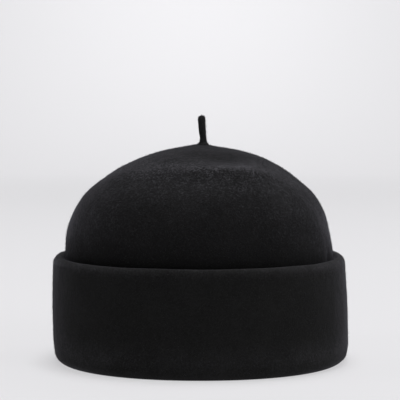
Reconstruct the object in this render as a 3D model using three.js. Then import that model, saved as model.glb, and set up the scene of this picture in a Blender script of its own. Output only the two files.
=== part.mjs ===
// A felt hat: a domed crown with a short stalk, and a tall cuff turned up around it.
// Millimetres, +Z up. The hat rests on the fold of its cuff at z = 0, the origin is on the floor under its
// middle, and the wearer's front faces -Y.
import * as THREE from "three";

// Felt
const FELT = 3;
const PIECE_GAP = 0.3;

// Cuff: a strip of felt doubled over at the rim
const CUFF_HEIGHT = 69.7;
const CUFF_CAVITY = 1.2;
const RIM_ROLL = 5; // how far below its top the rim starts to round over
const CROWN_GAP = 1.3;
const FLOOR_FLAT = 0.25;
const HEM_HEIGHT = 11.5;
const JOIN_HEIGHT = 10;

// Plan: 2 is an ellipse, and more is squarer
const PLAN_POWER = 2.1;
const SPOKES = 64;

// Worked out from the sizes above
const CUFF_THICKNESS = 2 * FELT + CUFF_CAVITY;
const RIM_RADIUS = CUFF_THICKNESS / 2;
const WALL_INSET = CUFF_THICKNESS + CROWN_GAP;
const FOLD_RADIUS = (WALL_INSET + FELT) / 2;
const FOLD_HEIGHT = FOLD_RADIUS - FLOOR_FLAT;

// Outer face of the cuff: how far it reaches from the middle, at a few heights
const CUFF_ROWS = [
  { height: 0, left: 95.9, right: 96.2, front: 105.8, back: 105.8 },
  { height: 9, left: 97.2, right: 98.0, front: 106.5, back: 106.5 },
  { height: 22, left: 97.8, right: 98.1, front: 106.7, back: 106.7 },
  { height: 37, left: 98.1, right: 97.7, front: 106.6, back: 106.7 },
  { height: 51, left: 98.0, right: 96.9, front: 106.2, back: 106.4 },
  { height: 66, left: 97.6, right: 96.1, front: 105.6, back: 105.8 },
  { height: CUFF_HEIGHT, left: 97.5, right: 95.9, front: 105.5, back: 105.7 },
];

// Outer face of the crown, from the seat of the stalk down to the edge that the cuff joins.
// rings is how many rings of facets reach from the row above down to this one.
const CROWN_ROWS = [
  { height: 143.2, left: 3.4, right: 5.0, front: 4.2, back: 4.2, rings: 0 },
  { height: 141.6, left: 11.3, right: 12.1, front: 13.0, back: 13.0, rings: 1 },
  { height: 139.0, left: 23.7, right: 25.5, front: 27.5, back: 27.0, rings: 2 },
  { height: 136.0, left: 34.2, right: 36.5, front: 40.5, back: 38.5, rings: 2 },
  { height: 132.0, left: 44.3, right: 46.1, front: 51.5, back: 49.5, rings: 2 },
  { height: 127.0, left: 54.4, right: 55.1, front: 61.0, back: 60.0, rings: 2 },
  { height: 120.0, left: 64.9, right: 64.5, front: 71.5, back: 71.0, rings: 2 },
  { height: 110.0, left: 76.3, right: 75.4, front: 83.5, back: 83.0, rings: 2 },
  { height: 99.0, left: 83.6, right: 82.0, front: 91.0, back: 91.0, rings: 2 },
  { height: 86.0, left: 88.4, right: 85.6, front: 95.4, back: 95.6, rings: 2 },
  { height: 75.0, left: 89.6, right: 87.7, front: 96.8, back: 97.2, rings: 2 },
  { height: 62.0, left: 89.4, right: 88.1, front: 97.0, back: 97.4, rings: 1 },
  { height: 36.0, left: 89.2, right: 88.8, front: 97.6, back: 97.8, rings: 1 },
  { height: JOIN_HEIGHT, left: 88.6, right: 89.1, front: 98.0, back: 98.0, rings: 1 },
];

// Dents and swellings of the crown. azimuth is in degrees from the front towards the right, down is how
// far the middle lies from the top along the felt, around and across are how far it fades, rise is out.
const CROWN_MARKS = [
  { azimuth: -58, down: 61, around: 18, across: 8.5, rise: 0.65 }, // shoulder ridge, from the left
  { azimuth: -32, down: 54, around: 18, across: 7.5, rise: 0.85 }, // ridge
  { azimuth: -6, down: 52, around: 17, across: 7, rise: 1.05 }, // ridge over the front
  { azimuth: 20, down: 51, around: 17, across: 6.5, rise: 1.5 }, // ridge, sharpest here
  { azimuth: 42, down: 56, around: 16, across: 7, rise: 1.2 }, // ridge
  { azimuth: 56, down: 68, around: 14, across: 9, rise: 0.5 }, // ridge runs out to the right
  { azimuth: 23, down: 32, around: 19, across: 9.5, rise: -2.2 }, // dip between the ridge and the stalk
  { azimuth: -70, down: 84, around: 24, across: 12, rise: 0.4 }, // left shoulder
  { azimuth: 68, down: 124, around: 6, across: 8, rise: -0.7 }, // crease above the right of the rim
];

// Stalk: its middle leans to the left as it rises
const STALK_ROWS = [
  { above: 0, middle: 1.7, radius: 3.6 },
  { above: 0.8, middle: 1.9, radius: 2.75 },
  { above: 2.2, middle: 1.95, radius: 2.35 },
  { above: 8, middle: 1.35, radius: 2.35 },
  { above: 13, middle: 1.05, radius: 2.4 },
  { above: 16.8, middle: 0.9, radius: 2.35 },
  { above: 18.3, middle: 1.0, radius: 1.7 },
  { above: 18.9, middle: 1.1, radius: 0.7 },
];
const STALK_SIDES = 12;

const CROWN_TOP = CROWN_ROWS[0].height;
const COLUMNS = ["height", "left", "right", "front", "back"];

const feltMaterial = (colour) =>
  new THREE.MeshStandardMaterial({ color: colour, roughness: 0.95, metalness: 0 });

// A point of a ring: the rounded oval that reaches left, right, front and back of the middle, at an angle.
function ringPoint(row, angle, inset = 0) {
  const halfWidth = (row.left + row.right) / 2 - inset;
  const halfDepth = (row.front + row.back) / 2 - inset;
  const across = Math.cos(angle);
  const along = Math.sin(angle);
  const sum =
    Math.abs(across / halfWidth) ** PLAN_POWER + Math.abs(along / halfDepth) ** PLAN_POWER;
  const radius = sum ** (-1 / PLAN_POWER);
  return new THREE.Vector3(
    (row.right - row.left) / 2 + radius * across,
    (row.back - row.front) / 2 + radius * along,
    row.height,
  );
}

// A smooth curve through a table's rows, by position along it.
function smoothRows(rows, positions) {
  const values = rows.flatMap((row) => COLUMNS.map((column) => row[column]));
  const curve = new THREE.CubicInterpolant(positions, values, COLUMNS.length);
  return (position) => {
    const at = curve.evaluate(position);
    return Object.fromEntries(COLUMNS.map((column, i) => [column, at[i]]));
  };
}

// Faces between rings of points. Each ring goes once round, and the ends close on a point or on each other.
function skin(rings, { startPole, endPole, loop }) {
  const around = rings[0].length;
  const points = rings.flat();
  const faces = [];
  const at = (ring, spoke) => ring * around + (spoke % around);
  const bands = loop ? rings.length : rings.length - 1;
  for (let ring = 0; ring < bands; ring++) {
    const next = (ring + 1) % rings.length;
    for (let spoke = 0; spoke < around; spoke++) {
      faces.push(at(ring, spoke), at(next, spoke), at(next, spoke + 1));
      faces.push(at(ring, spoke), at(next, spoke + 1), at(ring, spoke + 1));
    }
  }
  const closeWith = (pole, ring, turned) => {
    const tip = points.push(pole) - 1;
    for (let spoke = 0; spoke < around; spoke++) {
      const edge = [at(ring, spoke), at(ring, spoke + 1)];
      faces.push(tip, ...(turned ? edge.reverse() : edge));
    }
  };
  if (startPole) closeWith(startPole, 0, false);
  if (endPole) closeWith(endPole, rings.length - 1, true);
  const geometry = new THREE.BufferGeometry().setFromPoints(points);
  geometry.setIndex(faces);
  geometry.computeVertexNormals();
  return geometry;
}

const spokeAngles = Array.from({ length: SPOKES }, (_, spoke) => (2 * Math.PI * spoke) / SPOKES);

// Crown: the outer rings, swollen and dented by the marks, and the inner ones one felt inside them.
function crownRings() {
  const positions = [0];
  for (let i = 1; i < CROWN_ROWS.length; i++) {
    const [above, below] = [CROWN_ROWS[i - 1], CROWN_ROWS[i]];
    const step = Math.hypot(below.left - above.left, below.height - above.height);
    positions.push(positions[i - 1] + step);
  }
  const rowAt = smoothRows(CROWN_ROWS, positions);
  const downs = [0];
  for (let i = 1; i < CROWN_ROWS.length; i++) {
    const { rings } = CROWN_ROWS[i];
    for (let k = 1; k <= rings; k++) {
      downs.push(THREE.MathUtils.lerp(positions[i - 1], positions[i], k / rings));
    }
  }
  const smooth = downs.map((down) => spokeAngles.map((angle) => ringPoint(rowAt(down), angle)));
  return smooth.map((ring, i) =>
    ring.map((point, spoke) => {
      const rise = markRise(spokeAngles[spoke], downs[i], Math.hypot(point.x, point.y));
      return point.clone().addScaledVector(outward(smooth, i, spoke), rise);
    }),
  );
}

// How far the marks lift the felt at an angle, a distance down from the top and a distance from the axis.
function markRise(angle, down, radius) {
  return CROWN_MARKS.reduce((total, mark) => {
    const middle = THREE.MathUtils.degToRad(mark.azimuth - 90);
    const turn = Math.atan2(Math.sin(angle - middle), Math.cos(angle - middle));
    const near = Math.exp(-(((turn * radius) / mark.around) ** 2));
    return total + mark.rise * near * Math.exp(-(((down - mark.down) / mark.across) ** 2));
  }, 0);
}

// The direction that faces out of a net of rings at one of its points.
function outward(rings, ring, spoke) {
  const around = rings[ring].length;
  const above = rings[Math.max(ring - 1, 0)][spoke];
  const below = rings[Math.min(ring + 1, rings.length - 1)][spoke];
  const before = rings[ring][(spoke + around - 1) % around];
  const after = rings[ring][(spoke + 1) % around];
  const downTheFelt = below.clone().sub(above);
  const roundTheHat = after.clone().sub(before);
  return downTheFelt.cross(roundTheHat).normalize();
}

function crown() {
  const outer = crownRings();
  const inner = outer.map((ring, i) =>
    ring.map((point, spoke) => {
      const out = outward(outer, i, spoke);
      if (i === outer.length - 1) out.setZ(0).normalize();
      return point.clone().addScaledVector(out, -FELT);
    }),
  );
  const seat = new THREE.Vector3(0, 0, CROWN_TOP);
  const geometry = skin([...outer, ...inner.reverse()], {
    startPole: seat,
    endPole: seat.clone().setZ(CROWN_TOP - FELT),
  });
  return new THREE.Mesh(geometry, feltMaterial(0x1c1c1e));
}

// An arc of the cuff's section, as inset from the outer face and height. roll is its radius up and down.
function arc(inset, height, radius, fromDegrees, toDegrees, steps, roll = radius) {
  return Array.from({ length: steps + 1 }, (_, i) => {
    const turn = THREE.MathUtils.degToRad(THREE.MathUtils.lerp(fromDegrees, toDegrees, i / steps));
    return { inset: inset - radius * Math.cos(turn), height: height + roll * Math.sin(turn) };
  });
}

// The cuff's section, all the way round the strip of felt.
function cuffSection() {
  const rimHeight = CUFF_HEIGHT - RIM_ROLL;
  const joinHeight = JOIN_HEIGHT - PIECE_GAP;
  const faceHeights = CUFF_ROWS.slice(2, -2).map((row) => row.height);
  const innerLayer = FELT + CUFF_CAVITY;
  return [
    ...arc(FOLD_RADIUS, FOLD_HEIGHT, FOLD_RADIUS, -180, 0, 12),
    ...faceHeights.map((height) => ({ inset: 0, height })),
    ...arc(RIM_RADIUS, rimHeight, RIM_RADIUS, 0, 180, 8, RIM_ROLL),
    { inset: CUFF_THICKNESS, height: rimHeight / 2 },
    { inset: CUFF_THICKNESS, height: HEM_HEIGHT },
    { inset: innerLayer, height: HEM_HEIGHT },
    { inset: innerLayer, height: rimHeight / 2 },
    ...arc(RIM_RADIUS, rimHeight, CUFF_CAVITY / 2, 180, 0, 2, RIM_ROLL - FELT),
    { inset: FELT, height: rimHeight / 2 },
    ...arc(FOLD_RADIUS, FOLD_HEIGHT, FOLD_RADIUS - FELT, 0, -180, 6),
    { inset: WALL_INSET, height: joinHeight },
    { inset: WALL_INSET + FELT, height: joinHeight },
  ].map(({ inset, height }) => ({ inset, height: Math.max(height, 0) }));
}

function cuff() {
  const rowAt = smoothRows(
    CUFF_ROWS,
    CUFF_ROWS.map((row) => row.height),
  );
  const rings = cuffSection().map(({ inset, height }) =>
    spokeAngles.map((angle) => ringPoint(rowAt(height), angle, inset)),
  );
  return new THREE.Mesh(skin(rings.reverse(), { loop: true }), feltMaterial(0x1a1a1c));
}

function stalk() {
  const base = CROWN_TOP + PIECE_GAP;
  const rings = STALK_ROWS.map(({ above, middle, radius }) =>
    Array.from({ length: STALK_SIDES }, (_, side) => {
      const angle = (2 * Math.PI * side) / STALK_SIDES;
      return new THREE.Vector3(
        middle + radius * Math.cos(angle),
        radius * Math.sin(angle),
        base + above,
      );
    }),
  );
  const [foot, tip] = [STALK_ROWS[0], STALK_ROWS.at(-1)];
  const geometry = skin(rings.reverse(), {
    startPole: new THREE.Vector3(tip.middle, 0, base + tip.above),
    endPole: new THREE.Vector3(foot.middle, 0, base),
  });
  return new THREE.Mesh(geometry, feltMaterial(0x151516));
}

const hat = new THREE.Group();
for (const [name, make] of Object.entries({ crown, cuff, stalk })) {
  const piece = make();
  piece.name = name;
  hat.add(piece);
}

export default hat;
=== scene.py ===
import math
from collections import namedtuple

import bpy
import numpy as np
from bpy.props import FloatProperty, FloatVectorProperty, IntProperty, PointerProperty
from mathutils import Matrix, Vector, noise


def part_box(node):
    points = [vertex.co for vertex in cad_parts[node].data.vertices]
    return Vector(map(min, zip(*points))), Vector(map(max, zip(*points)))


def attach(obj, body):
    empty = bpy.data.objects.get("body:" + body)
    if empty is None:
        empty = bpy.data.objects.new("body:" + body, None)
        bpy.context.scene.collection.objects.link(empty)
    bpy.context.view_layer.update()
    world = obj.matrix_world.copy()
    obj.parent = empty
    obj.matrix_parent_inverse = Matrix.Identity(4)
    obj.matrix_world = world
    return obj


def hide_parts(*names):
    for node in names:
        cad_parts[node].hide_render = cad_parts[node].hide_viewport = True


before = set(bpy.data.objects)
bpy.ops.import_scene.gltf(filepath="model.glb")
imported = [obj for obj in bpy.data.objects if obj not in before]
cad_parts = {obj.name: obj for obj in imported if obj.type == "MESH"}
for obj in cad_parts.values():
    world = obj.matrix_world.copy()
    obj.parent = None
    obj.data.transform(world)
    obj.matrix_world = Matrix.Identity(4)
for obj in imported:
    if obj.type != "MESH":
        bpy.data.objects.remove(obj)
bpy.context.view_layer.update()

bl_info = {
    "name": "Felt hat",
    "version": (1, 0, 0),
    "blender": (4, 5, 0),
    "location": "3D View > Sidebar > Felt hat",
    "description": "Makes a felt hat with a domed crown, a turned-up cuff and a short stalk",
    "category": "Object",
}

CUFF_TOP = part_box("cuff")[1].z
CROWN_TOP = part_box("crown")[1].z
MM = 0.001

Row = namedtuple("Row", "height left right front back")
Mark = namedtuple("Mark", "azimuth down around across rise")
StalkRow = namedtuple("StalkRow", "above middle radius")
WearAndPaintedLightRow = namedtuple("WearAndPaintedLightRow", "down worn")
Lumps = namedtuple("Lumps", "wavelength height seed")
Fibres = namedtuple("Fibres", "part divisor lowest seed")
Softbox = namedtuple("Softbox", "name place target size watts")

# The form of the hat is in millimetres, as the solids have it.
# Seen from above, the hat is an oval of this power, where 2 would be an ellipse.
PLAN_POWER = 2.1

# Inside the fold, the crown's felt ends at this height and the cuff's felt begins a small gap below it
JOIN_HEIGHT = 10
PIECE_GAP = 0.3

# The cuff is doubled. Its inner layer ends in a hem, a cavity lies between the layers,
# and the felt rolls over them at the rim.
HEM_HEIGHT = 11.5
CUFF_CAVITY = 1.2
RIM_ROLL = 5

# How deep the fold is pressed flat where the hat rests
FLOOR_FLAT = 0.25

# How far the outer face of the cuff reaches from the middle, at a few heights
CUFF_ROWS = [
    Row(0, 95.9, 96.2, 105.8, 105.8),
    Row(9, 97.2, 98.0, 106.5, 106.5),
    Row(22, 97.8, 98.1, 106.7, 106.7),
    Row(37, 98.1, 97.7, 106.6, 106.7),
    Row(51, 98.0, 96.9, 106.2, 106.4),
    Row(66, 97.6, 96.1, 105.6, 105.8),
    Row(CUFF_TOP / MM, 97.5, 95.9, 105.5, 105.7),
]

# Outer face of the crown, from the seat of the stalk down to the edge that the cuff joins
CROWN_ROWS = [
    Row(143.2, 3.4, 5.0, 4.2, 4.2),
    Row(141.6, 11.3, 12.1, 13.0, 13.0),
    Row(139.0, 23.7, 25.5, 27.5, 27.0),
    Row(136.0, 34.2, 36.5, 40.5, 38.5),
    Row(132.0, 44.3, 46.1, 51.5, 49.5),
    Row(127.0, 54.4, 55.1, 61.0, 60.0),
    Row(120.0, 64.9, 64.5, 71.5, 71.0),
    Row(110.0, 76.3, 75.4, 83.5, 83.0),
    Row(99.0, 83.6, 82.0, 91.0, 91.0),
    Row(86.0, 88.4, 85.6, 95.4, 95.6),
    Row(75.0, 89.6, 87.7, 96.8, 97.2),
    Row(62.0, 89.4, 88.1, 97.0, 97.4),
    Row(36.0, 89.2, 88.8, 97.6, 97.8),
    Row(JOIN_HEIGHT, 88.6, 89.1, 98.0, 98.0),
]

# Dents and swellings of the crown: degrees from the front to the right, how far down the felt
# from the top, how far they fade round the hat and down the felt, and how far they stand out
CROWN_MARKS = [
    Mark(-58, 61, 18, 8.5, 0.65),
    Mark(-32, 54, 18, 7.5, 0.85),
    Mark(-6, 52, 17, 7, 1.05),
    Mark(20, 51, 17, 6.5, 1.5),
    Mark(42, 56, 16, 7, 1.2),
    Mark(56, 68, 14, 9, 0.5),
    Mark(23, 32, 19, 9.5, -2.2),
    Mark(-70, 84, 24, 12, 0.4),
    Mark(68, 124, 6, 8, -0.7),
]

# How pale the crown's felt is made, from 0 to 1, by how far down it is: partly wear, and partly painted
# light on the shoulder, which faces the light from above and in front. None at the bottom, where the
# crown's dark felt stands as painted shade above the cuff.
CROWN_WEAR_AND_PAINTED_LIGHT = [
    WearAndPaintedLightRow(0, 0.12),
    WearAndPaintedLightRow(30, 0.18),
    WearAndPaintedLightRow(43, 0.36),
    WearAndPaintedLightRow(58, 0.41),
    WearAndPaintedLightRow(66, 0.34),
    WearAndPaintedLightRow(78, 0.21),
    WearAndPaintedLightRow(96, 0.17),
    WearAndPaintedLightRow(110, 0.11),
    WearAndPaintedLightRow(122, 0.0),
]

# How much paler a swelling is made, times the square of how far it stands out: wear on its crest,
# and partly a painted highlight there
CREST_WEAR_AND_HIGHLIGHT = 0.15

# Places that are made paler, laid out as the marks are, with how much more at the end: four along the
# crest of the ridge, partly wear and partly a painted highlight, and one of painted light on the right
# shoulder
RUBBED_AND_PAINTED_LIGHT = [
    Mark(-34, 44, 14, 7, 0.24),
    Mark(-10, 44.5, 12, 6.5, 0.35),
    Mark(13, 44.5, 12, 5.5, 0.38),
    Mark(34, 46, 11, 5, 0.36),
    Mark(62, 80, 20, 18, 0.14),
]

# Pale bands of the cuff, one below its rim and one above the floor: how pale they are at most,
# how far that place is from the rim or the floor, and how far from there they fade. Both are partly
# wear;
# the rim's is partly a painted highlight on the top of the roll, and the foot's partly painted light
# from the floor
RIM_WEAR_AND_HIGHLIGHT = 0.44
RIM_BELOW = 2
RIM_FADE = 6
FOOT_WEAR_AND_FLOOR_LIGHT = 0.45
FOOT_ABOVE = 12
FOOT_FADE = 12

# The stalk, which bends a little: height above its seat, distance to the right, and radius
STALK_ROWS = [
    StalkRow(-0.5, 1.7, 4.2),
    StalkRow(0, 1.75, 3.55),
    StalkRow(0.8, 1.9, 2.75),
    StalkRow(2.2, 1.95, 2.35),
    StalkRow(8, 1.35, 2.35),
    StalkRow(13, 1.05, 2.4),
    StalkRow(16.8, 0.9, 2.35),
    StalkRow(18.2, 1.0, 1.75),
    StalkRow(18.8, 1.1, 0.8),
]

# How many points go round the hat and the stalk, and how many rings of them there are
SPOKES = 360
CROWN_RINGS = 150
STALK_SPOKES = 48
STALK_RINGS = 60

# Soft lumps of each piece. The cuff's come in gradually up to a height, so that its fold rests flat.
CROWN_LUMPS = [Lumps(30, 0.3, 1), Lumps(5, 0.05, 2)]
CUFF_LUMPS = [Lumps(30, 0.3, 3), Lumps(5, 0.06, 4)]
STALK_LUMPS = [Lumps(3, 0.05, 5)]
CUFF_LUMPS_FULL = 4

# Directions in which the flecks of wool lie, as turns about the axes
WOOL_TURNS = [(0.35, 0.2, 0), (1.3, 0.4, 0), (0.2, 1.3, 0.6), (0.8, 0.7, 0), (-0.8, -0.7, 0.5)]

# Noise scales: about how many of each lie along a metre of felt
FLECK_SCALE = 1100
SPECK_SCALE = 720
HAIR_SCALE = 500
LUMP_SCALE = 300
BEND_SCALE = 260
DRIFT_SCALE = 130
PATCH_SCALE = 38

# How far the flecks are bent, in metres, and how many times longer than wide they are
FLECK_BEND = 0.003
FLECK_STRETCH = 3.6

# Loose fibres: the piece that they grow on, what the full count is divided by, the lowest place
# and the seed. The crown's start a little below the rim, and the cuff's a little above the floor.
FIBRES = [
    Fibres("crown", 1, CUFF_TOP - 4 * MM, 5),
    Fibres("cuff", 1, 2 * MM, 4),
    Fibres("stalk", 40, CROWN_TOP, 5),
]

# Stance of a loose fibre: most lie low, all lift a little, and past the elbow they droop and stray
FIBRE_SIDES = 3
FIBRE_LOWNESS = 1.6
FIBRE_LIFT = 0.25
FIBRE_DROOP = 0.35
FIBRE_STRAY = 0.35
ELBOW = 0.55

SOFTBOXES = [
    Softbox("overhead softbox", (0.1, -0.08, 2.6), (0, 0, 0), 1.2, 38),
    Softbox("back softbox", (0.1, 0.7, 2.6), (0, 0, 0), 1.0, 22.5),
    Softbox("right softbox", (2.0, -0.5, 0.9), (0, 0, 0.1), 1.3, 5.4),
    Softbox("right back softbox", (1.5, 0.9, 1.7), (0, 0, 0.05), 1.2, 6.2),
    Softbox("front right softbox", (1.7, -1.6, 1.1), (0, 0, 0.1), 1.3, 14.6),
    Softbox("left softbox", (-2.0, -0.3, 1.0), (0, 0, 0.1), 1.3, 8.6),
    Softbox("backdrop softbox", (0, 2.45, 0.85), (0, 2.95, 0.35), 0.3, 6),
]
ROOM_COLOUR = (0.93, 0.95, 1, 1)
ROOM_STRENGTH = 0.02

# The floor glows a little, which keeps the hat's shadow weak
GLOW_COLOUR = (0.985, 0.98, 1, 1)
GLOW_STRENGTH = 0.54

# Where the camera stands, how far down it looks, in radians, and how far it sees.
# Its focal length is in pixels of the picture, and the sensor's width is in millimetres.
CAMERA_PLACE = (-0.0002, -1.5, 0.2072)
CAMERA_PITCH = 0.0673
CAMERA_REACH = 30
FOCAL_PIXELS = 2262
PICTURE_PIXELS = 400
SENSOR_WIDTH = 36.0


def smooth_rows(rows, positions, at):
    """Every column of a table as a smooth curve through its rows, read at the given positions."""
    table = np.array(rows, float)
    positions = np.array(positions, float)
    at = np.asarray(at, float)
    slopes = np.gradient(table, positions, axis=0)
    row = np.clip(np.searchsorted(positions, at, side="right") - 1, 0, len(rows) - 2)
    span = (positions[row + 1] - positions[row])[:, None]
    t = (at[:, None] - positions[row][:, None]) / span
    start, end = table[row], table[row + 1]
    return (
        start * (2 * t**3 - 3 * t**2 + 1)
        + slopes[row] * span * (t**3 - 2 * t**2 + t)
        + end * (3 * t**2 - 2 * t**3)
        + slopes[row + 1] * span * (t**3 - t**2)
    )


def spoke_angles(count):
    """Even turns all the way round, in radians."""
    return np.arange(count) * 2 * math.pi / count


def oval_rings(rows, angles, inset=0.0):
    """Rings of points round the hat, one rounded oval for each row, by ring, spoke and axis."""
    height, left, right, front, back = (column[:, None] for column in rows.T)
    inset = np.reshape(inset, (-1, 1))
    half_width = (left + right) / 2 - inset
    half_depth = (front + back) / 2 - inset
    across, along = np.cos(angles)[None], np.sin(angles)[None]
    total = np.abs(across / half_width) ** PLAN_POWER + np.abs(along / half_depth) ** PLAN_POWER
    radius = total ** (-1 / PLAN_POWER)
    x = (right - left) / 2 + radius * across
    y = (back - front) / 2 + radius * along
    return np.stack([x, y, np.broadcast_to(height, x.shape)], axis=-1)


def unit(vectors):
    """Vectors of length one in the same directions."""
    return vectors / np.linalg.norm(vectors, axis=-1, keepdims=True)


def outward(rings, loop=False):
    """The direction that faces out of a net of rings, at each of its points."""
    if loop:
        down = np.roll(rings, -1, axis=0) - np.roll(rings, 1, axis=0)
    else:
        down = np.gradient(rings, axis=0)
    around = np.roll(rings, -1, axis=1) - np.roll(rings, 1, axis=1)
    return unit(np.cross(down, around))


def unevenness(points, sorts):
    """Soft lumps of several sorts together, one height for each point."""
    smoothness, narrowing, octaves = 0.8, 2.1, 3
    seed_step = (17.3, 5.1, 9.7)
    total = 0
    for lumps in sorts:
        shift = Vector([lumps.seed * step for step in seed_step])
        places = points.reshape(-1, 3) / lumps.wavelength
        rises = [noise.fractal(Vector(p) + shift, smoothness, narrowing, octaves) for p in places]
        total = total + np.array(rises).reshape(points.shape[:-1]) * lumps.height
    return total


def add_mesh(name, points, faces):
    """A smooth mesh in the scene, from points in metres."""
    mesh = bpy.data.meshes.new(name)
    mesh.from_pydata(points, [], faces)
    mesh.shade_smooth()
    piece = bpy.data.objects.new(name, mesh)
    bpy.context.scene.collection.objects.link(piece)
    return piece


def skin(name, rings, poles=(), loop=False):
    """A mesh over rings of points in millimetres. The poles close its first and its last ring."""
    count, around = rings.shape[:2]
    net = np.arange(count * around).reshape(count, around)
    nearer = net if loop else net[:-1]
    farther = np.roll(net, -1, axis=0) if loop else net[1:]
    corners = [nearer, farther, np.roll(farther, -1, axis=1), np.roll(nearer, -1, axis=1)]
    faces = np.stack(corners, axis=-1).reshape(-1, 4).tolist()
    points = rings.reshape(-1, 3)
    for end, pole in enumerate(poles):
        tip = len(points)
        points = np.vstack([points, pole])
        edge = net[-1] if end else net[0]
        pairs = zip(np.roll(edge, -1), edge) if end else zip(edge, np.roll(edge, -1))
        faces += [(tip, int(a), int(b)) for a, b in pairs]
    piece = add_mesh(name, (points * MM).tolist(), faces)
    piece.data.validate()
    return piece


def keep_wear_and_painted_light(piece, amount):
    """Keeps how pale the felt is made at each point, from 0 to 1, by wear and by painted light, for the
    materials.
    """
    worn = piece.data.attributes.new("worn", "FLOAT", "POINT")
    worn.data.foreach_set("value", np.clip(amount, 0, 1).astype(np.float32))


def mark_rise(marks, angles, downs, radius):
    """The height of marks on the crown, by angle, distance down the felt and distance from the axis."""
    rise = np.zeros(radius.shape)
    for mark in marks:
        middle = math.radians(mark.azimuth - 90)
        turn = np.arctan2(np.sin(angles - middle), np.cos(angles - middle))[None]
        near = np.exp(-((turn * radius / mark.around) ** 2))
        rise += mark.rise * near * np.exp(-(((downs - mark.down) / mark.across) ** 2))[:, None]
    return rise


def crown_rings():
    """The outer rings of the crown, from the stalk's seat to its lower edge, and how pale each point is
    made:
    wear, painted light and a painted highlight, with the lowest part left dark as painted shade.
    """
    positions = [0]
    for above, below in zip(CROWN_ROWS, CROWN_ROWS[1:]):
        step = math.hypot(below.left - above.left, below.height - above.height)
        positions.append(positions[-1] + step)
    downs = np.linspace(0, positions[-1], CROWN_RINGS)
    angles = spoke_angles(SPOKES)
    smooth = oval_rings(smooth_rows(CROWN_ROWS, positions, downs), angles)
    radius = np.hypot(smooth[..., 0], smooth[..., 1])
    rise = mark_rise(CROWN_MARKS, angles, downs, radius)
    # Pale felt by height, partly wear and partly painted light, left out low down as painted shade; the
    # crests and the further places add wear and a painted highlight
    wear_and_light_by_height = np.interp(downs, *np.array(CROWN_WEAR_AND_PAINTED_LIGHT).T)[:, None]
    crest_wear_and_highlight = CREST_WEAR_AND_HIGHLIGHT * np.maximum(rise, 0) ** 2
    worn = wear_and_light_by_height + crest_wear_and_highlight + mark_rise(RUBBED_AND_PAINTED_LIGHT, angles, downs, radius)
    return smooth + rise[..., None] * outward(smooth), worn


def arc(inset, height, radius, start, end, steps, roll=None):
    """Points of a section on an arc, as inset from the outer face and height, by angle in degrees.

    roll is how high the arc is, where that isn't its radius.
    """
    roll = radius if roll is None else roll
    turn = np.radians(np.linspace(start, end, steps))
    return np.stack([inset - radius * np.cos(turn), height + roll * np.sin(turn)], axis=-1)


def rise_along(inset, start, end, steps):
    """Points of a section straight up or down at one inset, without its ends."""
    heights = np.linspace(start, end, steps + 2)[1:-1]
    return np.stack([np.full(steps, inset), heights], axis=-1)


def cuff_section(sizes):
    """The strip of felt that is the cuff, all the way round its section, from inside the fold."""
    felt = sizes.felt / MM
    thickness = 2 * felt + CUFF_CAVITY
    wall = thickness + sizes.crown_gap / MM
    rim_radius = thickness / 2
    rim_height = sizes.cuff_height / MM - RIM_ROLL
    fold_radius = (wall + felt) / 2
    fold_height = fold_radius - FLOOR_FLAT
    join_height = JOIN_HEIGHT - PIECE_GAP
    inner_layer = felt + CUFF_CAVITY
    section = np.concatenate([
        arc(fold_radius, fold_height, fold_radius, -180, 0, steps=31),
        rise_along(0, fold_height, rim_height, steps=48),
        arc(rim_radius, rim_height, rim_radius, 0, 180, steps=31, roll=RIM_ROLL),
        rise_along(thickness, rim_height, HEM_HEIGHT, steps=8),
        [(thickness, HEM_HEIGHT), (inner_layer, HEM_HEIGHT)],
        rise_along(inner_layer, HEM_HEIGHT, rim_height, steps=5),
        arc(rim_radius, rim_height, CUFF_CAVITY / 2, 180, 0, steps=5, roll=RIM_ROLL - felt),
        rise_along(felt, rim_height, fold_height, steps=5),
        arc(fold_radius, fold_height, fold_radius - felt, 0, -180, steps=9),
        [(wall, join_height), (wall + felt, join_height)],
    ])
    section[:, 1] = np.maximum(section[:, 1], 0)
    return section


def wear_and_light_band(height, middle, fade, most):
    """How pale the felt is made by its height, by wear and painted light: most in the middle of a band,
    and below 0 outside it.
    """
    return most * (1 - np.abs(height - middle) / fade)


class Value:
    """A shader's number, whose sums in Python become Math nodes."""

    def __init__(self, shader, socket):
        self.shader = shader
        self.socket = socket

    def maths(self, operation, other):
        """A Math node on this number and another one."""
        inputs = {0: self, 1: other}
        return self.shader.add("ShaderNodeMath", {"operation": operation}, inputs)

    def __add__(self, other):
        return self.maths("ADD", other)

    __radd__ = __add__

    def __mul__(self, other):
        return self.maths("MULTIPLY", other)

    __rmul__ = __mul__

    def smooth(self, low, high):
        """0 below low, 1 above high and smooth between."""
        settings = {"interpolation_type": "SMOOTHSTEP", "clamp": True}
        inputs = {"Value": self, "From Min": low, "From Max": high}
        return self.shader.add("ShaderNodeMapRange", settings, inputs)


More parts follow.
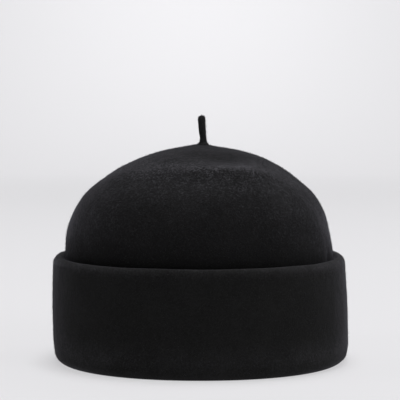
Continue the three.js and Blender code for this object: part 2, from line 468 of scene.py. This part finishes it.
class Shader:
    """The nodes of one material."""

    def __init__(self, name):
        self.material = bpy.data.materials.new(name)
        self.material.use_nodes = True
        self.tree = self.material.node_tree
        self.surface = self.tree.nodes["Principled BSDF"]

    def put(self, node, inputs):
        """Sets sockets, by name or number, to numbers or to links from other nodes."""
        for key, value in inputs.items():
            socket = node.inputs[key]
            if isinstance(value, Value):
                self.tree.links.new(value.socket, socket)
            else:
                socket.default_value = value

    def add(self, kind, settings=None, inputs=None, output=0):
        """A node of a type with its settings and inputs. Gives one output, by name or number."""
        node = self.tree.nodes.new(kind)
        for key, value in (settings or {}).items():
            setattr(node, key, value)
        self.put(node, inputs or {})
        return Value(self, node.outputs[output])

    def mix(self, factor, first, second):
        """A colour between two colours. A Mix node's colour sockets share their names with others."""
        settings = {"data_type": "RGBA"}
        return self.add("ShaderNodeMix", settings, {0: factor, 6: first, 7: second}, output=2)

    def noise(self, scale, place, detail=3.0, roughness=0.5):
        """Soft noise, from 0 to 1, with about this many lumps along a metre."""
        inputs = {"Vector": place, "Scale": scale, "Detail": detail, "Roughness": roughness}
        return self.add("ShaderNodeTexNoise", inputs=inputs)

    def finish(self, **inputs):
        """Sets the surface's own sockets, with _ for a space in their names."""
        self.put(self.surface, {key.replace("_", " "): value for key, value in inputs.items()})
        return self.material


def scaled(colour, factor):
    """A colour made lighter or darker, with its alpha."""
    return (*(min(channel * factor, 1) for channel in colour), 1)


def matted_wool(shader, place, grain):
    """Bent flecks of wool that lie in several directions across each other."""
    waves = {"Vector": place, "Scale": BEND_SCALE * grain}
    drift = shader.add("ShaderNodeTexNoise", inputs=waves, output="Color")
    bend = {0: drift, 1: (FLECK_BEND / grain,) * 3, 2: place}
    bent = shader.add("ShaderNodeVectorMath", {"operation": "MULTIPLY_ADD"}, bend)
    wool = None
    for turn in WOOL_TURNS:
        inputs = {"Vector": bent, "Rotation": turn, "Scale": (1, 1, FLECK_STRETCH)}
        lain = shader.add("ShaderNodeMapping", {"vector_type": "TEXTURE"}, inputs)
        fleck = shader.noise(FLECK_SCALE * grain, lain, detail=2.0).smooth(0.5, 0.72)
        wool = wool.maths("MAXIMUM", fleck) if wool else fleck
    return wool


def felt_material(name, colour, colours, specked=1.85, grain=1.0):
    """Matted wool: flecks and soft lumps, mottled colour, a low sheen, and paler places of wear,
    painted light and painted sheen.

    specked is how strongly the pale places are specked, and grain makes the small features finer.
    """
    shader = Shader(name)
    place = shader.add("ShaderNodeTexCoord", output="Object")
    flecks = matted_wool(shader, place, grain)
    lumps = shader.noise(LUMP_SCALE * grain, place, roughness=0.6)
    patches = shader.noise(PATCH_SCALE, place, roughness=0.55)
    worn = shader.add("ShaderNodeAttribute", {"attribute_name": "worn"}, output="Fac")

    tone = patches * 0.4 + lumps * 0.3 + flecks * 0.3
    darker, paler = scaled(colour, 0.75), scaled(colour, 1.25)
    body = shader.mix(tone.smooth(0.2, 0.75), darker, paler)

    # The specks come in drifts. The pale mix is painted sheen as well as wear and painted light: a
    # Layer Weight facing factor makes it full at a low angle to the view, and 0.4 of that head on.
    specks = shader.noise(SPECK_SCALE * grain, place, detail=2.0, roughness=0.6).smooth(0.36, 0.68)
    drifts = shader.noise(DRIFT_SCALE, place, detail=2.0).smooth(0.3, 0.7) * 0.8 + 0.6
    facing = shader.add("ShaderNodeLayerWeight", inputs={"Blend": 0.5}, output="Facing")
    nap = worn * (facing.smooth(0.0, 0.5) * 0.6 + 0.4)
    rubbed = nap * (flecks * specks * drifts * specked + patches.smooth(0.2, 0.8) * 0.4)
    # The pale colour goes in where there is wear, painted light and painted sheen
    wool = shader.mix(rubbed, body, scaled(colours.worn, 1))

    relief = lumps * 0.7 + flecks * 0.3
    depth = {"Strength": 0.5, "Distance": 0.5 * MM, "Height": relief}
    return shader.finish(
        Base_Color=wool,
        Roughness=0.88 + lumps * 0.12,
        Normal=shader.add("ShaderNodeBump", inputs=depth),
        Specular_IOR_Level=0.05,
        Sheen_Weight=0.135,
        Sheen_Roughness=0.3,
        Sheen_Tint=scaled(colours.sheen, 1),
    )


def fibre_material(name, colour, colours):
    """Single loose hairs: the felt's colour, from a little darker to paler, with a sheen."""
    shader = Shader(name)
    place = shader.add("ShaderNodeTexCoord", output="Object")
    tone = shader.noise(HAIR_SCALE, place, detail=1.0)
    darker, paler = scaled(colour, 0.8), scaled(colour, 2.2)
    return shader.finish(
        Base_Color=shader.mix(tone.smooth(0.35, 0.65), darker, paler),
        Roughness=0.6,
        Specular_IOR_Level=0.08,
        Sheen_Weight=0.06,
        Sheen_Roughness=0.4,
        Sheen_Tint=scaled(colours.sheen, 1),
    )


def belong(piece, node):
    """Hands a piece over to the frame, in place of a node or beside it."""
    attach(piece, "root")
    if node:
        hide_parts(node)


def felt_places(rng, mesh, count, lowest):
    """Random places on the outer faces of a mesh above a height, and the direction each face has."""
    mesh.calc_loop_triangles()
    corners = np.empty(len(mesh.loop_triangles) * 3, np.int32)
    mesh.loop_triangles.foreach_get("vertices", corners)
    points = np.empty(len(mesh.vertices) * 3)
    mesh.vertices.foreach_get("co", points)
    triangles = points.reshape(-1, 3)[corners.reshape(-1, 3)]
    facing = np.cross(triangles[:, 1] - triangles[:, 0], triangles[:, 2] - triangles[:, 0])
    double_area = np.linalg.norm(facing, axis=1)
    middle = triangles.mean(axis=1)

    # An outer face is one that faces away from a point inside the hat
    inside = [0, 0, CUFF_TOP / 2]
    outside = (facing * (middle - inside)).sum(axis=1) > 0
    weight = double_area * outside * (middle[:, 2] > lowest)
    chosen = rng.choice(len(weight), count, p=weight / weight.sum())
    shares = rng.dirichlet((1, 1, 1), count)
    places = (triangles[chosen] * shares[:, :, None]).sum(axis=1)
    return places, facing[chosen] / double_area[chosen][:, None]


def loose_fibres(name, source, count, sizes, lowest, seed):
    """Short bent hairs that stand and lie on a piece above a height, as one mesh of closed spindles."""
    rng = np.random.default_rng(seed)
    root, normal = felt_places(rng, source.data, count, lowest)
    sideways = unit(np.cross(normal, rng.normal(size=(count, 3))))
    stand = rng.uniform(0.05, 1.0, (count, 1)) ** FIBRE_LOWNESS
    first = unit(normal * (FIBRE_LIFT + stand) + sideways)
    stray = rng.normal(size=(count, 3)) * FIBRE_STRAY
    second = unit(normal * (stand - FIBRE_DROOP) + sideways + stray)
    reach = sizes.fibre_length * rng.uniform(0.35, 1.0, (count, 1))
    elbow = root + first * reach * ELBOW
    tip = elbow + second * reach * (1 - ELBOW)

    # A little off the normal, because a fibre that lies along it would have no direction across
    thick = sizes.fibre_radius * rng.uniform(0.6, 1.2, (count, 1))
    off_normal = normal + 1e-3
    across = unit(np.cross(first, off_normal))
    other = np.cross(first, across)
    waist = [
        elbow + (across * math.cos(turn) + other * math.sin(turn)) * thick
        for turn in spoke_angles(FIBRE_SIDES)
    ]
    points = np.stack([root - first * thick, *waist, tip], axis=1)

    root_point, tip_point = 0, FIBRE_SIDES + 1
    edges = [(side + 1, (side + 1) % FIBRE_SIDES + 1) for side in range(FIBRE_SIDES)]
    spindle = [(root_point, b, a) for a, b in edges] + [(tip_point, a, b) for a, b in edges]
    starts = np.arange(count)[:, None, None] * points.shape[1]
    faces = (np.array(spindle)[None] + starts).reshape(-1, 3)
    return add_mesh(name, points.reshape(-1, 3).tolist(), faces.tolist())


class HatSizes(bpy.types.PropertyGroup):
    """Sizes that a user would change."""

    felt: FloatProperty(
        name="Felt",
        description="Thickness of the felt",
        default=3 * MM,
        min=1 * MM,
        subtype="DISTANCE",
    )
    cuff_height: FloatProperty(
        name="Cuff height",
        description="From the floor to the rim",
        default=CUFF_TOP,
        subtype="DISTANCE",
    )
    crown_gap: FloatProperty(
        name="Gap",
        description="Between the crown and the standing cuff",
        default=1.3 * MM,
        subtype="DISTANCE",
    )
    fibre_length: FloatProperty(
        name="Loose fibres",
        description="Longest loose fibre",
        default=1.7 * MM,
        subtype="DISTANCE",
    )
    fibre_radius: FloatProperty(
        name="Fibre radius",
        description="Radius of a loose fibre",
        default=0.035 * MM,
        subtype="DISTANCE",
    )
    fibre_count: IntProperty(
        name="Fibre count",
        description="Loose fibres on the crown, and on the cuff",
        default=32000,
        min=0,
    )


class HatColours(bpy.types.PropertyGroup):
    """Colours that a user would change."""

    # The crown, the cuff and the stalk are one felt. The crown's is set darker than the cuff's, as
    # painted shade on the crown's wall, which the pale felt lightens higher up.
    crown: FloatVectorProperty(
        name="Crown",
        description="Felt of the crown",
        default=(0.0077, 0.0077, 0.0079),
        subtype="COLOR",
    )
    cuff: FloatVectorProperty(
        name="Cuff",
        description="Felt of the cuff",
        default=(0.0114, 0.0115, 0.0114),
        subtype="COLOR",
    )
    # The stalk's felt is set paler than the cuff's: painted light on the thin stalk, which takes light
    # from all round
    stalk: FloatVectorProperty(
        name="Stalk",
        description="Felt of the stalk",
        default=(0.022, 0.022, 0.0224),
        subtype="COLOR",
    )
    # The pale colour that wear, painted light, a painted highlight and painted sheen mix in
    worn: FloatVectorProperty(
        name="Worn felt",
        description="Places where the felt is rubbed",
        default=(0.055, 0.054, 0.0602),
        subtype="COLOR",
    )
    sheen: FloatVectorProperty(
        name="Sheen",
        description="Tint of the nap at a low angle",
        default=(0.62, 0.605, 0.72),
        subtype="COLOR",
    )
    floor: FloatVectorProperty(
        name="Floor",
        description="Floor and backdrop",
        default=(0.22, 0.218, 0.225),
        subtype="COLOR",
    )


class MakeCrown(bpy.types.Operator):
    """Make the domed crown, a hollow shell of felt"""

    bl_idname = "felt_hat.crown"
    bl_label = "Crown"

    def execute(self, context):
        sizes, colours = context.scene.hat_sizes, context.scene.hat_colours
        outer, worn = crown_rings()
        outer = outer + outward(outer) * unevenness(outer, CROWN_LUMPS)[..., None]
        felt = sizes.felt / MM
        inner = outer[::2] - felt * outward(outer)[::2]
        inner[-1, :, 2] = outer[-1, :, 2]
        seat = np.array([0.0, 0.0, CROWN_ROWS[0].height])
        rings = np.concatenate([outer, inner[::-1]])
        piece = skin("felt_crown", rings, poles=(seat, seat - [0, 0, felt]))
        hidden = np.zeros(len(piece.data.vertices) - worn.size)
        keep_wear_and_painted_light(piece, np.concatenate([worn.reshape(-1), hidden]))
        piece.data.materials.append(felt_material("crown felt", colours.crown, colours))
        belong(piece, "crown")
        return {"FINISHED"}


class MakeCuff(bpy.types.Operator):
    """Make the turned-up cuff, a strip of felt doubled over at the rim"""

    bl_idname = "felt_hat.cuff"
    bl_label = "Cuff"

    def execute(self, context):
        sizes, colours = context.scene.hat_sizes, context.scene.hat_colours
        section = cuff_section(sizes)
        rows = smooth_rows(CUFF_ROWS, [row.height for row in CUFF_ROWS], section[:, 1])
        rings = oval_rings(rows, spoke_angles(SPOKES), section[:, 0])[::-1]
        height = rings[..., 2]
        off_floor = np.clip(height / CUFF_LUMPS_FULL, 0, 1)
        lift = unevenness(rings, CUFF_LUMPS) * off_floor
        rings = rings + outward(rings, loop=True) * lift[..., None]
        piece = skin("felt_cuff", rings, loop=True)
        # Pale bands, partly wear: a painted highlight on the rim's top and painted light from the floor
        # at the foot
        rim = wear_and_light_band(height, sizes.cuff_height / MM - RIM_BELOW, RIM_FADE, RIM_WEAR_AND_HIGHLIGHT)
        foot = wear_and_light_band(height, FOOT_ABOVE, FOOT_FADE, FOOT_WEAR_AND_FLOOR_LIGHT)
        keep_wear_and_painted_light(piece, np.maximum(rim, foot).reshape(-1))
        piece.data.materials.append(felt_material("cuff felt", colours.cuff, colours, specked=0.8))
        belong(piece, "cuff")
        return {"FINISHED"}


class MakeStalk(bpy.types.Operator):
    """Make the short stalk on top of the crown"""

    bl_idname = "felt_hat.stalk"
    bl_label = "Stalk"

    def execute(self, context):
        colours = context.scene.hat_colours
        positions = [row.above for row in STALK_ROWS]
        at = np.linspace(positions[0], positions[-1], STALK_RINGS)
        above, middle, radius = smooth_rows(STALK_ROWS, positions, at).T[..., None]
        angles = spoke_angles(STALK_SPOKES)
        x = middle + radius * np.cos(angles)
        y = radius * np.sin(angles)
        z = np.broadcast_to(CROWN_TOP / MM + PIECE_GAP + above, x.shape)
        rings = np.stack([x, y, z], axis=-1)[::-1]
        rings = rings + outward(rings) * unevenness(rings, STALK_LUMPS)[..., None]
        tip, foot = rings[0].mean(axis=0), rings[-1].mean(axis=0)
        piece = skin("felt_stalk", rings, poles=(tip, foot))
        keep_wear_and_painted_light(piece, np.zeros(len(piece.data.vertices)))
        piece.data.materials.append(felt_material("stalk felt", colours.stalk, colours, grain=1.6))
        belong(piece, "stalk")
        return {"FINISHED"}


class MakeFibres(bpy.types.Operator):
    """Make the loose fibres that stand on the felt"""

    bl_idname = "felt_hat.fibres"
    bl_label = "Loose fibres"

    def execute(self, context):
        sizes, colours = context.scene.hat_sizes, context.scene.hat_colours
        for part, divisor, lowest, seed in FIBRES:
            source = bpy.data.objects.get("felt_" + part)
            if source is None:
                raise RuntimeError(f"The {part} has to be made before its loose fibres")
            count = sizes.fibre_count // divisor
            hairs = loose_fibres(part + "_fibres", source, count, sizes, lowest, seed)
            # The loose fibres take their piece's colour: painted shade on the crown, painted light on
            # the stalk
            material = fibre_material(part + " fibre", getattr(colours, part), colours)
            hairs.data.materials.append(material)
            belong(hairs, None)
        return {"FINISHED"}


class MakeStage(bpy.types.Operator):
    """Make the pale floor and backdrop, the lights and the camera"""

    bl_idname = "felt_hat.stage"
    bl_label = "Stage"

    def execute(self, context):
        self.sweep(context.scene.hat_colours)
        for softbox in SOFTBOXES:
            self.light(*softbox)
        world = bpy.data.worlds.new("room")
        world.use_nodes = True
        background = world.node_tree.nodes["Background"]
        background.inputs["Color"].default_value = ROOM_COLOUR
        background.inputs["Strength"].default_value = ROOM_STRENGTH
        context.scene.world = world
        context.scene.view_settings.view_transform = "Standard"
        self.camera()
        return {"FINISHED"}

    def sweep(self, colours):
        """A floor that curves up into a wall behind the hat, as one strip."""
        side, front, back, radius, top = 8.0, -12.0, 2.2, 1.0, 3.2
        turn = np.radians(np.linspace(0, 90, 25))
        along = [front, *(back + radius * np.sin(turn)), back + radius]
        up = [0, *(radius * (1 - np.cos(turn))), top]
        points = [(x, y, z) for y, z in zip(along, up) for x in (-side, side)]
        faces = [(i, i + 1, i + 3, i + 2) for i in range(0, len(points) - 2, 2)]
        piece = add_mesh("floor", points, faces)
        surface = Shader("floor").finish(
            Base_Color=scaled(colours.floor, 1),
            Roughness=0.9,
            Specular_IOR_Level=0.1,
            Emission_Color=GLOW_COLOUR,
            Emission_Strength=GLOW_STRENGTH,
        )
        piece.data.materials.append(surface)

    def light(self, name, place, target, size, watts):
        """A round softbox at a place, turned to a target."""
        lamp = bpy.data.lights.new(name, "AREA")
        lamp.shape = "DISK"
        lamp.size = size
        lamp.energy = watts
        holder = bpy.data.objects.new(name, lamp)
        holder.location = place
        aim = Vector(target) - Vector(place)
        holder.rotation_euler = aim.to_track_quat("-Z", "Y").to_euler()
        bpy.context.scene.collection.objects.link(holder)

    def camera(self):
        """Looks along +Y from a little above the crown, as the photograph does."""
        camera = bpy.data.cameras.new("camera")
        camera.sensor_width = SENSOR_WIDTH
        camera.lens = SENSOR_WIDTH * FOCAL_PIXELS / PICTURE_PIXELS
        camera.clip_end = CAMERA_REACH
        holder = bpy.data.objects.new("camera", camera)
        holder.location = CAMERA_PLACE
        holder.rotation_euler = (math.pi / 2 - CAMERA_PITCH, 0, 0)
        bpy.context.scene.collection.objects.link(holder)
        bpy.context.scene.camera = holder


PIECES = (MakeCrown, MakeCuff, MakeStalk, MakeFibres, MakeStage)


class HatPanel(bpy.types.Panel):
    """Lists what makes the hat"""

    bl_idname = "VIEW3D_PT_felt_hat"
    bl_label = "Felt hat"
    bl_space_type = "VIEW_3D"
    bl_region_type = "UI"
    bl_category = "Felt hat"

    def draw(self, context):
        for group in (context.scene.hat_sizes, context.scene.hat_colours):
            for name in group.bl_rna.properties.keys():
                if name not in ("rna_type", "name"):
                    self.layout.prop(group, name)
        for piece in PIECES:
            self.layout.operator(piece.bl_idname)


CLASSES = (HatSizes, HatColours, *PIECES, HatPanel)


def register():
    for cls in CLASSES:
        bpy.utils.register_class(cls)
    bpy.types.Scene.hat_sizes = PointerProperty(type=HatSizes)
    bpy.types.Scene.hat_colours = PointerProperty(type=HatColours)


def unregister():
    del bpy.types.Scene.hat_colours
    del bpy.types.Scene.hat_sizes
    for cls in reversed(CLASSES):
        bpy.utils.unregister_class(cls)


def main():
    register()
    bpy.ops.felt_hat.crown()
    bpy.ops.felt_hat.cuff()
    bpy.ops.felt_hat.stalk()
    bpy.ops.felt_hat.fibres()
    bpy.ops.felt_hat.stage()


if __name__ == "__main__":
    main()
